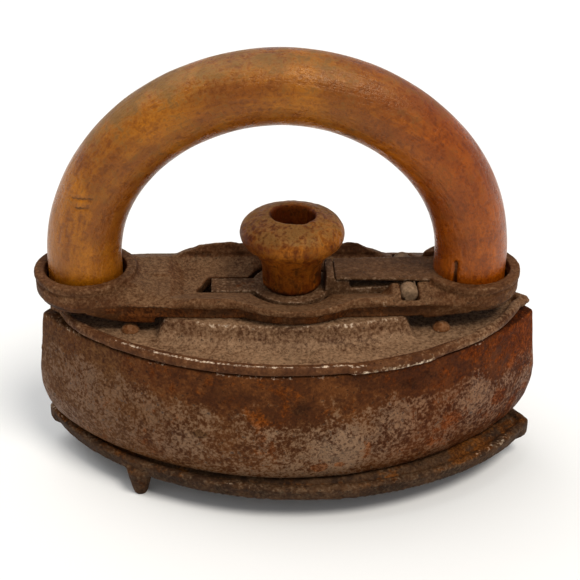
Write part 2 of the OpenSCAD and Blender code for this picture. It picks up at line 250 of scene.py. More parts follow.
class Skin:
    """A procedural material, built up one node at a time."""

    def __init__(self, name):
        self.material = bpy.data.materials.new(name)
        self.material.use_nodes = True
        self.tree = self.material.node_tree
        self.tree.nodes.clear()
        output = self.node("OutputMaterial")
        self.shader = self.node("BsdfPrincipled")
        self.tree.links.new(self.shader.outputs[0], output.inputs[0])
        self.place = self.node("TexCoord").outputs["Object"]

    def node(self, kind, **settings):
        made = self.tree.nodes.new("ShaderNode" + kind)
        for name, value in settings.items():
            setattr(made, name, value)
        return made

    def put(self, socket, value):
        if isinstance(value, bpy.types.NodeSocket):
            self.tree.links.new(value, socket)
        elif isinstance(value, (tuple, list)) and len(value) == 3 and socket.type == "RGBA":
            socket.default_value = (*value, 1)
        else:
            socket.default_value = value

    def noise(self, size, detail=4, rough=0.55, distortion=0.0, at=None, shift=0.0):
        """Noise spread over 0 to 1 whose bumps are about size millimetres wide."""
        made = self.node("TexNoise", noise_dimensions="4D")
        self.put(made.inputs["Vector"], at or self.place)
        made.inputs["W"].default_value = shift
        made.inputs["Scale"].default_value = 0.6 / (size * MM)
        made.inputs["Detail"].default_value = detail
        made.inputs["Roughness"].default_value = rough
        made.inputs["Distortion"].default_value = distortion
        return self.step(made.outputs["Fac"], 0.32, 0.68)

    def cells(self, size):
        """Distance from the middles of cells about size millimetres wide."""
        made = self.node("TexVoronoi")
        self.put(made.inputs["Vector"], self.place)
        made.inputs["Scale"].default_value = 1 / (size * MM)
        return made.outputs["Distance"]

    def blend(self, *parts):
        """The weighted sum of (weight, value) pairs."""
        total = None
        for weight, value in parts:
            part = value if weight == 1 else self.calc("MULTIPLY", value, weight)
            total = part if total is None else self.calc("ADD", total, part)
        return total

    def calc(self, operation, a, b=0.0):
        made = self.node("Math", operation=operation)
        self.put(made.inputs[0], a)
        self.put(made.inputs[1], b)
        return made.outputs[0]

    def step(self, value, start, end, low=0.0, high=1.0):
        """low before start, high after end, smooth between; start may be above end."""
        made = self.node("MapRange", interpolation_type="SMOOTHSTEP")
        self.put(made.inputs["Value"], value)
        falling = start > end
        made.inputs["From Min"].default_value = end if falling else start
        made.inputs["From Max"].default_value = start if falling else end
        made.inputs["To Min"].default_value = high if falling else low
        made.inputs["To Max"].default_value = low if falling else high
        return made.outputs["Result"]

    def mix(self, share, a, b, mode="MIX"):
        made = self.node("Mix", data_type="RGBA", blend_type=mode)
        self.put(made.inputs["Factor"], share)
        self.put(made.inputs["A"], a)
        self.put(made.inputs["B"], b)
        return next(s for s in made.outputs if s.type == "RGBA")

    def painted(self, name):
        """The numbers that paint stored, 0 where a piece has none."""
        return self.node("Attribute", attribute_name=name).outputs["Fac"]

    def bump(self, height, depth, under=None):
        """A bump of that many millimetres, laid over another."""
        made = self.node("Bump")
        made.inputs["Distance"].default_value = depth * MM
        self.put(made.inputs["Height"], height)
        if under:
            self.put(made.inputs["Normal"], under)
        return made.outputs["Normal"]

    def set(self, **values):
        """Sets or links inputs of the surface shader; an underscore stands for a space in a name."""
        for name, value in values.items():
            self.put(self.shader.inputs[name.replace("_", " ")], value)


def darker(colour, share):
    """A colour with only that share of its light."""
    return tuple(share * c for c in colour)


def iron_skin(name, brown, shade, metal, rust, bare_level, rust_level, shift, shine=0.36, sheen_rough=0.58,
              dust=(0.21, 0.125, 0.068)):
    """Old iron: brown oxide in two shades, orange rust, and bare or plated metal showing through.

    The painted layers "bare", "rust" and "dust" push each of these forward, "dark" darkens both for stains
    and as painted shade in creases and on faces turned from the light, a glint layer paints highlights
    into the colour along edges and crests, and "warm" reddens. The levels set how much of the metal and of
    the rust shows where nothing is painted. Shine is the roughness of clean metal, and sheen_rough that of
    the oxide.
    """
    skin = Skin(name)
    broad = skin.noise(15, 5, 0.6, 0.4, shift=shift)
    middle = skin.noise(4.2, 6, 0.65, 0.4, shift=shift + 1)
    fine = skin.noise(1.1, 5, 0.7, shift=shift + 2)
    speck = skin.noise(0.55, 4, 0.65, shift=shift + 3)

    tone = skin.blend((0.30, broad), (0.35, middle), (0.35, fine))
    colour = skin.mix(skin.step(tone, 0.25, 0.75), shade, brown)

    blotch = skin.noise(7.5, 6, 0.68, 0.9, shift=shift + 4)
    crumbs = skin.noise(2.4, 5, 0.65, 0.5, shift=shift + 6)
    rust_at = skin.blend((0.42, blotch), (0.28, crumbs), (0.30, fine), (1, skin.painted("rust")))
    rusty = skin.step(rust_at, 0.86 - rust_level, 1.22 - rust_level)
    deep_rust = tuple(c * k for c, k in zip(rust, (0.42, 0.40, 0.5)))
    rust_tone = skin.mix(skin.step(skin.blend((0.5, speck), (0.5, middle)), 0.25, 0.8), deep_rust, rust)
    colour = skin.mix(skin.calc("MULTIPLY", rusty, 0.88), colour, rust_tone)

    bare_at = skin.blend((0.18, middle), (0.38, fine), (0.44, speck), (1, skin.painted("bare")))
    bare = skin.calc("MULTIPLY", skin.step(bare_at, 0.84 - bare_level, 1.42 - bare_level),
                     skin.step(rusty, 0.9, 0.2, 0.3, 1))
    metal_tone = skin.step(skin.blend((0.4, middle), (0.6, speck)), 0.25, 0.7)
    colour = skin.mix(bare, colour, skin.mix(metal_tone, darker(metal, 0.5), metal))

    # Darker for stains, and painted shade where a piece paints "dark" into creases and onto faces turned
    # from the light.
    dark_at = skin.blend((0.35, blotch), (0.35, fine), (0.30, middle), (1, skin.painted("dark")))
    stain_and_shade = skin.step(dark_at, 0.72, 1.05, 0, 0.82)
    colour = skin.mix(stain_and_shade, colour, darker(shade, 0.40))

    dust_at = skin.blend((0.50, speck), (0.30, fine), (0.20, middle), (1, skin.painted("dust")))
    rust_free = skin.step(rusty, 0.9, 0.3, 0.3, 1)
    film = skin.calc("MULTIPLY", skin.step(dust_at, 0.30, 1.20, 0, 0.85), rust_free)
    colour = skin.mix(film, colour, dust)

    pits = skin.step(skin.blend((0.6, speck), (0.4, skin.noise(0.9, 2, shift=shift + 7))), 0.76, 0.92)
    colour = skin.mix(skin.calc("MULTIPLY", pits, 0.8), colour, darker(shade, 0.3))
    colour = skin.mix(0.6, colour, skin.mix(speck, (0.50, 0.47, 0.44), (1.38, 1.38, 1.38)), "MULTIPLY")
    colour = skin.mix(skin.painted("warm"), colour, (0.78, 0.58, 0.42), "MULTIPLY")

    clean = skin.calc("MULTIPLY", bare, skin.step(stain_and_shade, 0.5, 0.0))
    roughness = skin.blend((1, skin.step(clean, 0, 1, sheen_rough, shine)), (0.16, rusty), (0.12, fine))
    normal = skin.bump(skin.noise(2.6, 6, 0.6, shift=shift + 5), 0.12)
    normal = skin.bump(fine, 0.07, normal)
    normal = skin.bump(skin.calc("MULTIPLY", rusty, speck), 0.06, normal)
    normal = skin.bump(pits, -0.06, normal)
    # Painted highlight: bright colour along the edges and crests that each piece paints, in place of
    # glints of light.
    painted_glint = skin.step(skin.blend((0.40, speck), (0.25, fine), (1, skin.painted("painted_glint"))), 0.74, 1.25)
    colour = skin.mix(painted_glint, colour, skin.mix(speck, (0.36, 0.215, 0.115), (0.80, 0.64, 0.47)))
    skin.set(Base_Color=colour, Roughness=roughness, Normal=normal)
    skin.set(Metallic=skin.step(clean, 0, 1, 0, 0.45))
    skin.set(Specular_IOR_Level=skin.step(clean, 0, 1, 0.06, 0.4))
    return skin.material


def wood_skin(name, light, deep, worn, fleck, shift, gloss, coat, shine=0.5, grit=0.8):
    """Handled, varnished hardwood with a warm sheen.

    The painted "grain" gives the place across and along the fibres, "worn" says where the varnish is
    rubbed off and, on the grip's upper faces, also paints a highlight, "dark" where dirt or scorching
    darkens the wood and where painted shade falls on undersides, in hollows and at the knob's foot, and
    "warm" where it is redder. Gloss is the varnish's lowest roughness, shine its strength, and grit the
    strength of the finest specks.
    """
    skin = Skin(name)
    grain = skin.node("Attribute", attribute_name="grain").outputs["Vector"]
    squeeze = skin.node("VectorMath", operation="MULTIPLY")
    skin.put(squeeze.inputs[0], grain)
    squeeze.inputs[1].default_value = (1, 1, 0.22)
    along = squeeze.outputs[0]
    blotch = skin.noise(17, 4, 0.55, 0.8, grain, shift)
    mottle = skin.noise(4.0, 6, 0.65, 0.6, grain, shift + 1)
    fibres = skin.noise(0.6, 5, 0.65, 0.3, along, shift + 2)
    streaks = skin.noise(2.4, 6, 0.65, 0.9, along, shift + 3)
    speck = skin.noise(0.7, 4, 0.65, shift=shift + 4)

    tone = skin.blend((0.34, blotch), (0.26, streaks), (0.22, mottle), (0.18, fibres))
    colour = skin.mix(skin.step(tone, 0.28, 0.78), deep, light)
    # Rubbed varnish; on the grip it also stands in for a painted highlight on the upper faces.
    worn_at = skin.blend((0.4, mottle), (0.3, speck), (1, skin.painted("worn")))
    wear_and_highlight = skin.step(worn_at, 0.45, 0.95, 0, 0.85)
    colour = skin.mix(wear_and_highlight, colour, skin.mix(fibres, darker(worn, 0.62), worn))
    flecks = skin.step(skin.blend((0.30, fibres), (0.42, speck), (0.28, mottle)), 0.52, 0.82)
    colour = skin.mix(skin.calc("MULTIPLY", flecks, 0.6), colour, fleck)
    # Darker for dirt, and painted shade where a piece paints "dark" onto undersides and into hollows.
    dark_at = skin.blend((0.3, speck), (0.3, mottle), (0.25, streaks), (1, skin.painted("dark")))
    dirt_and_shade = skin.step(dark_at, 0.62, 1.05)
    colour = skin.mix(skin.calc("MULTIPLY", dirt_and_shade, 0.85), colour, darker(fleck, 0.6))
    colour = skin.mix(grit, colour, skin.mix(speck, (0.58, 0.50, 0.42), (1.30, 1.32, 1.30)), "MULTIPLY")
    colour = skin.mix(skin.painted("warm"), colour, (1.0, 0.62, 0.25), "MULTIPLY")

    roughness = skin.blend((1, skin.step(mottle, 0, 1, gloss, gloss + 0.12)), (0.14, wear_and_highlight), (0.2, dirt_and_shade))
    normal = skin.bump(streaks, 0.10)
    normal = skin.bump(fibres, 0.06, normal)
    normal = skin.bump(speck, 0.06, normal)
    skin.set(Base_Color=colour, Roughness=roughness, Normal=normal, Coat_Normal=normal)
    skin.set(Coat_Roughness=skin.step(skin.blend((0.6, mottle), (0.4, speck)), 0.2, 0.8, 0.17, 0.42))
    skin.shader.inputs["Specular IOR Level"].default_value = shine
    skin.shader.inputs["Specular Tint"].default_value = (1.0, 0.70, 0.40, 1)
    skin.shader.inputs["Coat Weight"].default_value = coat
    return skin.material


# ---------------------------------------------------------------- core

def lens_radius(half_length, half_width):
    """Radius of the two arcs that make a pointed oval."""
    return (half_length ** 2 + half_width ** 2) / (2 * half_width)


def lens_side(angle, inset, half_length, half_width):
    """Distance from the middle to a pointed oval's outline, moved in by inset."""
    radius = lens_radius(half_length, half_width)
    offset = radius - half_width
    across = offset * np.abs(np.sin(angle))
    return -across + np.sqrt(np.maximum(across ** 2 + (radius - inset) ** 2 - offset ** 2, 0))


def lens_reach(angle, inset, half_length, half_width, cut, blend):
    """The same with the points cut off at a distance from the middle and rounded."""
    side = lens_side(angle, inset, half_length, half_width)
    tip = half_length - cut
    end = cut - inset - math.log(1 - math.exp(-blend * max(tip, 0.2))) / blend
    nearer = np.minimum(side, end)
    return nearer - np.log(np.exp(-blend * (side - nearer)) + np.exp(-blend * (end - nearer))) / blend


def lens_rings(profile, columns=620, blend=0.9):
    """Rings of the pointed-oval core for [inset, z] pairs, evenly divided, with softened points."""
    form = (OVAL_HALF_LENGTH, HALF_WIDTH, TIP, blend)
    steps = np.linspace(0, 2 * math.pi, 20001)
    distance = lens_reach(steps, 0, *form)
    x, y = distance * np.cos(steps), distance * np.sin(steps)
    length = np.concatenate([[0], np.cumsum(np.hypot(np.diff(x), np.diff(y)))])
    angle = np.interp(np.arange(columns) / columns * length[-1], length, steps)
    rings = []
    for inset, z in profile:
        r = np.maximum(lens_reach(angle, inset, *form), 0.5)
        rings.append(np.stack([r * np.cos(angle), r * np.sin(angle), np.full(columns, z)], axis=1))
    return rings


def round_points(points, half_length, half_width, cut, blend, turn=0.0):
    """Rounds the two cut points of a pointed-oval piece that is turned by that angle."""
    angle = np.arctan2(points[:, 1], points[:, 0]) - turn
    sharp = np.minimum(lens_side(angle, 0, half_length, half_width), cut)
    share = lens_reach(angle, 0, half_length, half_width, cut, blend) / sharp
    far = fade(np.hypot(points[:, 0], points[:, 1]), 20, 60)
    scale = 1 + (share - 1) * far
    return points * np.stack([scale, scale, np.ones(len(points))], axis=1)


def smooth_line(corners, spacing, softness):
    """Points every spacing along a line through corners, which are rounded over about softness."""
    corners = np.array(corners, float)
    along = np.concatenate([[0], np.cumsum(np.linalg.norm(np.diff(corners, axis=0), axis=1))])
    at = np.linspace(0, along[-1], max(int(along[-1] / spacing), 2) + 1)
    line = np.stack([np.interp(at, along, c) for c in corners.T], axis=1)
    reach = max(int(softness / spacing), 1)
    padded = np.concatenate([np.repeat(line[:1], reach, 0), line, np.repeat(line[-1:], reach, 0)])
    window = np.hanning(2 * reach + 3)[1:-1]
    rounded = np.stack([np.convolve(c, window / window.sum(), "valid") for c in padded.T], axis=1)
    rounded[0], rounded[-1] = line[0], line[-1]
    return rounded


def make_core():
    sole = CORE_LOW[2]
    sole_top = sole + 11
    inner = 6.5                                         # the wall's inner face
    outer = smooth_line([[inner, SEAM_Z - 0.2], [2.1, SEAM_Z], [0, sole + 18], [0.2, sole + 12],
                         [1.6, sole + 6], [3.6, sole + 1.6], [5.2, sole], [12, sole]], 0.6, 1.3)
    underside = [[inset, sole] for inset in (16, 21, 26, 31, 35, 38, 40.5)]
    hollow = [[inner + d, sole_top] for d in (30, 24, 18, 12, 6, 2, 0)]
    hollow += [[inner, sole + h] for h in (14, 20, 26, 32, 36)]
    piece = from_rings("core_casting_worn", lens_rings(hollow + outer.tolist() + underside))
    mesh = piece.data
    points, normals = points_of(mesh), normals_of(mesh)
    shown = fade(points[:, 2], sole + 0.2, sole + 2)
    push = 0.22 * noise(points, 24, 3) + 0.12 * noise(points, 8, 4) + 0.05 * layered(points, 2.6, 5)
    push = push * shown
    push -= 0.16 * fade(noise(points, 1.7, 11), 0.4, 0.75) * fade(noise(points, 7, 12), -0.2, 0.5)
    push -= 0.35 * patch(points, (-28, -37.7, 31.3), (4.2, 5, 2.2)) * shown
    set_points(mesh, points + normals * push[:, None])

    # Colour zones of the wall: rust under the rim and at the points, plating worn bare lower down.
    x, y, z = points.T
    wavy = 4.5 * noise(points, 15, 20) + 2.8 * noise(points, 5.5, 21) + 1.4 * noise(points, 2.2, 28)
    edge = np.clip(ridges(mesh), 0, 1)
    upper = fade(z + wavy, 38, 46)
    bare = 0.12 - 0.5 * upper + 0.14 * noise(points, 6, 22) + 0.10 * noise(points, 13, 23)
    bare += patches(
        points,
        (0.26, (14, -40.8, 28), (17, 12, 13)),
        (0.12, (34, -35, 36), (16, 14, 11)),
        (0.08, (58, -22, 32), (18, 14, 14)),
        (0.10, (-34, -36, 26), (17, 12, 10)),
        (0.06, (-56, -24, 38), (26, 24, 16)),
        (-0.3, (3, -41.8, 41), (7, 6, 6)))
    bare += (y > 0) * patches(
        points,
        (0.2, (-20, 40, 30), (26, 14, 12)),
        (0.15, (40, 33, 32), (20, 14, 10)))
    rust = -0.14 + 0.12 * upper * fade(x, -60, -20) + 0.15 * fade(x, 16, 60)
    rust += 0.16 * fade(noise(points, 4.5, 24), 0.2, 0.7) * fade(z, 34, 22)
    rust += patches(
        points,
        (0.34, (76, 0, 44), (30, 22, 18)),
        (0.18, (-12, -41, 34), (14, 8, 10)),
        (-0.14, (14, -40.8, 30), (12, 12, 9)),
        (0.62, (8.8, -41.4, 19.5), (4.6, 5, 3.2)),
        (0.55, (14.6, -40.8, 20.5), (3.4, 5, 2.8)),
        (0.30, (-8.5, -41.4, 27), (6, 6, 6)),
        (0.30, (22, -39.4, 26), (5, 6, 7)),
        (0.36, (66, -16, 30), (5, 6, 4)),
        (0.26, (50, -28, 30), (4, 6, 4)))
    dark = -0.12 + 0.24 * upper * fade(x, 72, 40) + 0.12 * fade(x, 24, 56)
    # Painted shade at the foot, where the wall sits down in the stand, and at the seam under the cover's
    # rim.
    dark += 0.3 * fade(z, sole + 2.5, sole) + 0.4 * fade(z, SEAM_Z - 0.9, SEAM_Z - 0.1)
    dark += patches(
        points,
        (0.8, (-28, -37.7, 31.3), (5, 6, 2.4)),
        (0.40, (3, -41.8, 41), (6, 6, 6)),
        (0.26, (38, -34, 46), (14, 10, 6)),
        (0.2, (-20, -40, 45), (16, 8, 6)))
    film = 0.30 * fade(x, -22, -60) + 0.12 * (1 - upper) * fade(x, 60, 20)
    film += 0.12 * noise(points, 10, 26) - 0.3 * upper * fade(x, -60, -30)
    # A painted highlight along the top of the wall, just under the seam.
    painted_glint = 0.42 * fade(z, SEAM_Z - 1.6, SEAM_Z - 0.7) * fade(noise(points, 8, 27), -0.3, 0.5)
    paint(piece, "painted_glint", painted_glint)
    paint(piece, "bare", bare + 0.05 * edge)
    paint(piece, "dust", film)
    paint(piece, "warm", 0.75 * fade(x, 12, 44) + 0.35 * fade(x, -20, -50))
    paint(piece, "rust", rust)
    paint(piece, "dark", dark)
    finish_piece(piece, "core_casting", "iron", iron_skin(
        "core_iron", brown=(0.122, 0.039, 0.009), shade=(0.058, 0.017, 0.004), metal=(0.30, 0.178, 0.100),
        rust=(0.235, 0.056, 0.004), dust=(0.130, 0.062, 0.022), bare_level=0.40, rust_level=0.38,
        shift=1.0, shine=0.44))


# ---------------------------------------------------------------- cover

def make_cover():
    piece = remeshed("top_cover", 0.5, 4)
    mesh = piece.data
    points, normals = points_of(mesh), normals_of(mesh)
    x, y, z = points.T
    # The rim is round, apart from a stretch on the right of the front that is hammered flat.
    radius = lens_radius(OVAL_HALF_LENGTH, HALF_WIDTH)
    inset = radius - np.hypot(x, np.abs(y) + radius - HALF_WIDTH)
    flat = fade(x, 15.5, 17.5) * fade(x, 47, 40) * (y < 0)
    bead = fade(z, SEAM_Z + 0.15, SEAM_Z + 0.9) * fade(inset, 5.9, 5.2) * (z < SEAM_Z + 4)
    bead_inset, bead_z, bead_radius = 3.5, SEAM_Z + 1.35, 1.85
    in_by, up_by = inset - bead_inset, z - bead_z
    stretch = bead_radius / np.maximum(np.hypot(in_by, up_by), 0.4) - 1
    shift_in = bead * (stretch * in_by - 0.9 * flat * fade(inset, 4.5, 2.5))
    shift_up = bead * (stretch * up_by - 0.35 * flat)
    toward = np.stack([x, y + np.sign(y) * (radius - HALF_WIDTH)], axis=1)
    toward /= np.linalg.norm(toward, axis=1)[:, None]
    points[:, :2] -= toward * shift_in[:, None]
    points[:, 2] += shift_up
    # Its ends are sprung up, the right one more, and both stop a little short of the core's points.
    outer = fade(z, SEAM_Z - 0.6, SEAM_Z + 0.4)
    points[:, 2] += outer * (1.7 * fade(x, 52, 80) + 0.3 * fade(x, -60, -80))
    points[:, 0] += 3.0 * fade(x, -64, -79)
    points = round_points(points, OVAL_HALF_LENGTH, HALF_WIDTH, TIP - 1.5, 0.3)
    points[:, 0] -= 2.0 * fade(x, 62, 79)
    set_points(mesh, points)
    rough_cast(piece, 31, swell=0.12, lumps=0.07, pits=0.12)
    normals = normals_of(mesh)

    # Painted highlights run along the rim's crest, where the light catches it, and the seat's top edge;
    # the rim is brown, the plate under a film of dust.
    edge = np.clip(ridges(mesh), -1, 1)
    streak = np.clip(0.60 + 0.5 * noise(points, (6, 6, 2), 33) + 0.3 * noise(points, 1.3, 34), 0, 1.2)
    facing = np.einsum("ij,ij->i", normals[:, :2], toward)
    crest = bead * fade(facing, 0.05, 0.25) * fade(facing, 0.66, 0.48)
    crest = crest * fade(x, -68, -45) * fade(x, 30, 14)
    top_edge = fade(z, SEAM_Z + 3.9, SEAM_Z + 5.2) * fade(edge, 0.1, 0.5) * fade(points[:, 1], 0, -8)
    # The worn plating of the hammered strip also gets painted highlight.
    plated = flat * bead * fade(z, SEAM_Z + 2.2, SEAM_Z + 1.0)
    painted_glint = crest * (0.42 + 0.42 * streak) + top_edge * (0.22 + 0.36 * streak) + 0.66 * plated * streak
    rim = np.maximum(bead, fade(z, SEAM_Z + 0.4, SEAM_Z - 0.2))
    right_end = fade(x, 40, 58)
    foot = fade(-edge, 0.1, 0.7)
    bare = -0.1 + 0.35 * plated + 0.06 * noise(points, 8, 37)
    rust = -0.22 + 0.24 * patch(points, (25, -24, 57), (14, 10, 6)) + 0.10 * foot
    rust += 0.2 * fade(noise(points, 5, 35), 0.3, 0.8) * (1 - rim) + (0.25 * flat - 0.05) * rim
    # Painted shade in the creases and on the rim's lower, outer face.
    dark = -0.1 + 0.35 * foot
    dark += 0.4 * fade(points[:, 2], SEAM_Z + 1.5, SEAM_Z + 0.2) * (1 - 0.8 * flat)
    seat_side = fade(points[:, 2], SEAM_Z + 1.5, SEAM_Z + 3) * fade(normals[:, 2], 0.95, 0.7)
    dust = 0.44 - 0.80 * rim * (1 - 0.8 * right_end) * (1 - 0.5 * fade(x, -52, -66))
    dust += 0.10 * noise(points, 9, 36) - 0.15 * foot - 0.22 * seat_side
    paint(piece, "painted_glint", painted_glint)
    paint(piece, "dust", dust)
    paint(piece, "bare", bare)
    paint(piece, "rust", rust)
    paint(piece, "dark", dark)
    finish_piece(piece, "top_cover", "iron", iron_skin(
        "cover_iron", brown=(0.120, 0.047, 0.017), shade=(0.068, 0.024, 0.009), metal=(0.50, 0.36, 0.22),
        rust=(0.24, 0.072, 0.008), dust=(0.275, 0.162, 0.088), bare_level=0.24, rust_level=0.24,
        shift=5.0, shine=0.34, sheen_rough=0.5))


# ---------------------------------------------------------------- handle

def make_frame():
    piece = remeshed("handle_frame", 0.42, 5)
    mesh = piece.data
    points, normals = points_of(mesh), normals_of(mesh)
    x, y, z = points.T
    # A hollow runs along the frame's outer sides, under their rolled upper edges, which wander a little.
    upright = 1 - fade(np.abs(normals[:, 2]), 0.8, 0.97)
    outward = fade(np.sign(y) * normals[:, 1], 0.15, 0.5) * (np.abs(y) > 11)
    middle = fade(np.abs(x - HANDLE_X), 54, 40)
    rise = (z - 59.2) / 7.4                             # 0 at the frame's foot, 1 at its upper edge
    crease = 0.56 + 0.07 * noise(points * [1, 0, 0], 8, 41) + 0.05 * noise(points * [1, 0, 0], 3.5, 42)
    hollow = np.clip(np.sin(np.clip(rise / crease, 0, 1) ** 1.6 * math.pi), 0, None)
    roll = np.clip(np.sin(np.clip((rise - crease) / (1 - crease), 0, 1) * math.pi), 0, None)
    side = upright * outward * middle
    points = points - normals * (side * (1.9 * hollow - 0.45 * roll))[:, None]
    points[:, 2] += 0.35 * noise(points * [1, 0.4, 0], 13, 41) * fade(z, 62.5, 65.5) * middle
    # Each socket has a rolled lip, set off by a wandering groove.
    for leg in (HANDLE_X - LEG_REACH, HANDLE_X + LEG_REACH):
        distance = np.hypot(x - leg, y)
        above_groove = z - 66.0 + 0.45 * noise(points, 6, 47)
        wall = fade(distance, 14.6, 15.4) * upright
        inward = wall * (0.5 * np.exp(-(above_groove / 0.55) ** 2) + 0.2 * fade(above_groove, 0, -1.5))
        points[:, 0] -= inward * (x - leg) / distance
        points[:, 1] -= inward * y / distance
    set_points(mesh, points)
    rough_cast(piece, 43, swell=0.16, lumps=0.07, pits=0.12, grain=0.03)

    edge = np.clip(ridges(mesh), -1, 1)
    low = side * fade(rise / crease, 1.05, 0.8)
    rolled = side * fade(rise / crease, 0.95, 1.1)
    line = side * fade(np.abs(rise / crease - 1), 0.12, 0.03)
    normals = normals_of(mesh)
    web = fade(normals[:, 2], 0.8, 0.95) * (1 - side) * fade(np.abs(x - HANDLE_X), 52, 44)
    web = web * fade(z, 60.5, 61.5)
    front_skirt = fade(y, -8, -14) * fade(x, -38, -46) * fade(z, 64.5, 62)
    bare = -0.14 + 0.16 * fade(edge, 0.3, 0.9) + 0.05 * noise(points, 11, 44)
    rust = -0.20 + 0.40 * low + 0.30 * front_skirt + 0.14 * fade(noise(points, 6, 45), 0.2, 0.7)
    slot_wall = fade(np.abs(normals[:, 2]), 0.8, 0.4) * fade(z, TROUGH_Z, TROUGH_Z - 0.8)
    slot_wall = slot_wall * (np.abs(y) < 14)
    # Painted shade: a dark line in the crease under the rolled edge, inside the slot and on the back
    # rail's inner face; the web darkens towards the back.
    dark = -0.06 + 0.22 * fade(-edge, 0.1, 0.7) + 0.55 * line + 0.9 * slot_wall
    dark += 0.35 * patch(points, (-26, 14.5, 65), (10, 3.5, 3)) + 0.2 * fade(y, 6, 12) * web
    dust = -0.04 + 0.38 * web + 0.16 * rolled - 0.2 * low - 0.3 * front_skirt
    dust += 0.12 * noise(points, 8, 46)
    # A painted highlight along the sharpest edges.
    paint(piece, "painted_glint", 0.3 * fade(edge, 0.7, 1.0) * fade(noise(points, 6, 48), 0, 0.6))
    paint(piece, "dust", dust)
    paint(piece, "bare", bare)
    paint(piece, "rust", rust)
    paint(piece, "dark", dark)
    finish_piece(piece, "handle_frame", "handle", iron_skin(
        "frame_iron", brown=(0.114, 0.044, 0.015), shade=(0.074, 0.027, 0.009), metal=(0.30, 0.20, 0.12),
        rust=(0.165, 0.048, 0.010), dust=(0.178, 0.098, 0.048), bare_level=0.20, rust_level=0.26,
        shift=9.0, shine=0.42, sheen_rough=0.54))


def grip_path(spacing):
    """The middle line of the bent grip in X and Z, from the left leg's foot to the right one's.

    A flatter crown lies between two tighter shoulders, turned about points turn_x from the middle.
    """
    turn_x = 8.0
    arch_z = 72.0                                       # where the legs start to curve
    shoulder = LEG_REACH - turn_x
    rise = GRIP_HIGH[2] - GRIP_RADIUS - arch_z
    k = rise - shoulder
    drop = (turn_x ** 2 - k ** 2) / (2 * k)
    split = math.atan2(drop, turn_x)
    crown = rise + drop
    line = [(-LEG_REACH, GRIP_LOW[2]), (-LEG_REACH, arch_z)]
    for angle in np.linspace(math.pi, math.pi - split, 40)[1:]:
        line.append((-turn_x + shoulder * math.cos(angle), arch_z + shoulder * math.sin(angle)))
    for angle in np.linspace(math.pi - split, split, 80)[1:]:
        line.append((crown * math.cos(angle), arch_z - drop + crown * math.sin(angle)))
    for angle in np.linspace(split, 0, 40)[1:]:
        line.append((turn_x + shoulder * math.cos(angle), arch_z + shoulder * math.sin(angle)))
    line.append((LEG_REACH, GRIP_LOW[2]))
    line = np.array(line)
    line[:, 0] += HANDLE_X
    return smooth_line(line, spacing, 2.0)


def make_grip():
    spacing = 0.62
    around = 116
    path = grip_path(spacing)
    heading = np.gradient(path, axis=0)
    heading /= np.linalg.norm(heading, axis=1)[:, None]
    out = np.stack([-heading[:, 1], heading[:, 0]], axis=1)
    phi = np.arange(around) / around * 2 * math.pi
    along = np.arange(len(path)) * spacing
    ends = fade(along, -0.1, 1.6) * fade(along[::-1], -0.1, 1.6)
    rings, grain = [], []
    for centre, side, distance, end in zip(path, out, along, ends):
        r = GRIP_RADIUS * (0.88 + 0.12 * end)
        outward, across = r * np.cos(phi), r * np.sin(phi)
        x, z = centre[:, None] + side[:, None] * outward
        rings.append(np.stack([x, -across, z], axis=1))
        grain.append(np.stack([outward, across, np.full(around, distance)], axis=1))
    piece = from_rings("wooden_grip_worn", rings)
    mesh = piece.data
    grain = np.concatenate(grain + [grain[0].mean(0)[None], grain[-1].mean(0)[None]])
    points, normals = points_of(mesh), normals_of(mesh)
    x, y, z = points.T
    push = 0.16 * noise(points, 26, 51) + 0.07 * noise(points, 7, 52) - 0.1
    push += 0.03 * noise(grain, (1.2, 1.2, 9), 53)
    # Small bruises, the split beside the spring on the right leg, and two nicks in the left one.
    push -= 0.22 * fade(noise(points, 3.2, 54), 0.55, 0.85) * fade(noise(points, 15, 55), 0.0, 0.5)
    from_split = np.abs(x - (HANDLE_X + LEG_REACH - 6.2) + 0.4 * noise(points, 3, 56))
    split = fade(from_split, 0.75, 0.3) * (y < -5) * fade(z, 75.4, 74)
    past_leg = x - (HANDLE_X - LEG_REACH)
    nick = np.zeros(len(points))
    for height, width in ((96.5, 4.0), (93.6, 3.0)):
        from_nick = np.abs(z - height - 0.06 * past_leg)
        nick += fade(from_nick, 0.55, 0.2) * fade(np.abs(past_leg - 1.5), width, width - 1) * (y < 0)
    push -= 1.1 * split + 0.3 * nick
    set_points(mesh, points + normals * push[:, None])

    layer = mesh.attributes.new("grain", "FLOAT_VECTOR", "POINT")
    layer.data.foreach_set("vector", (grain * MM).astype(np.float32).ravel())
    up = normals[:, 2]
    left = fade(x, 20, -50)
    # Rubbed varnish, and a painted highlight: paler on the upper faces, most on the left.
    worn = 0.06 + 0.40 * fade(up, 0.45, 0.9) * (0.45 + 0.55 * left) * (0.8 + 0.3 * noise(points, 14, 57))
    worn += 0.16 * left * fade(up, 0.1, 0.6) - 0.2 * fade(z, 100, 75)
    # Painted shade on the downward faces; bruises, nicks, the split and a stain are darker too, and the
    # legs darken towards their feet.
    dark = -0.08 + 0.14 * fade(noise(points, 9, 58), 0.15, 0.7) + 0.26 * fade(-up, 0.1, 0.8)
    dark += 0.7 * nick + 0.8 * split
    dark += 0.22 * patch(points, (50, -9, 100), (16, 12, 22)) * (0.6 + 0.4 * noise(points, 4, 59))
    dark += 0.35 * fade(z, 71.5, 69) * (0.6 + 0.4 * noise(points, 3, 60))
    paint(piece, "worn", worn)
    paint(piece, "dark", dark)
    paint(piece, "warm", 0.9 * fade(x, 8, 48))
    finish_piece(piece, "wooden_grip", "handle", wood_skin(
        "grip_wood", light=(0.378, 0.121, 0.003), deep=(0.190, 0.048, 0.002), worn=(0.250, 0.130, 0.030),
        fleck=(0.085, 0.024, 0.003), shift=21.0, gloss=0.25, coat=0.12))


# ---------------------------------------------------------------- latch

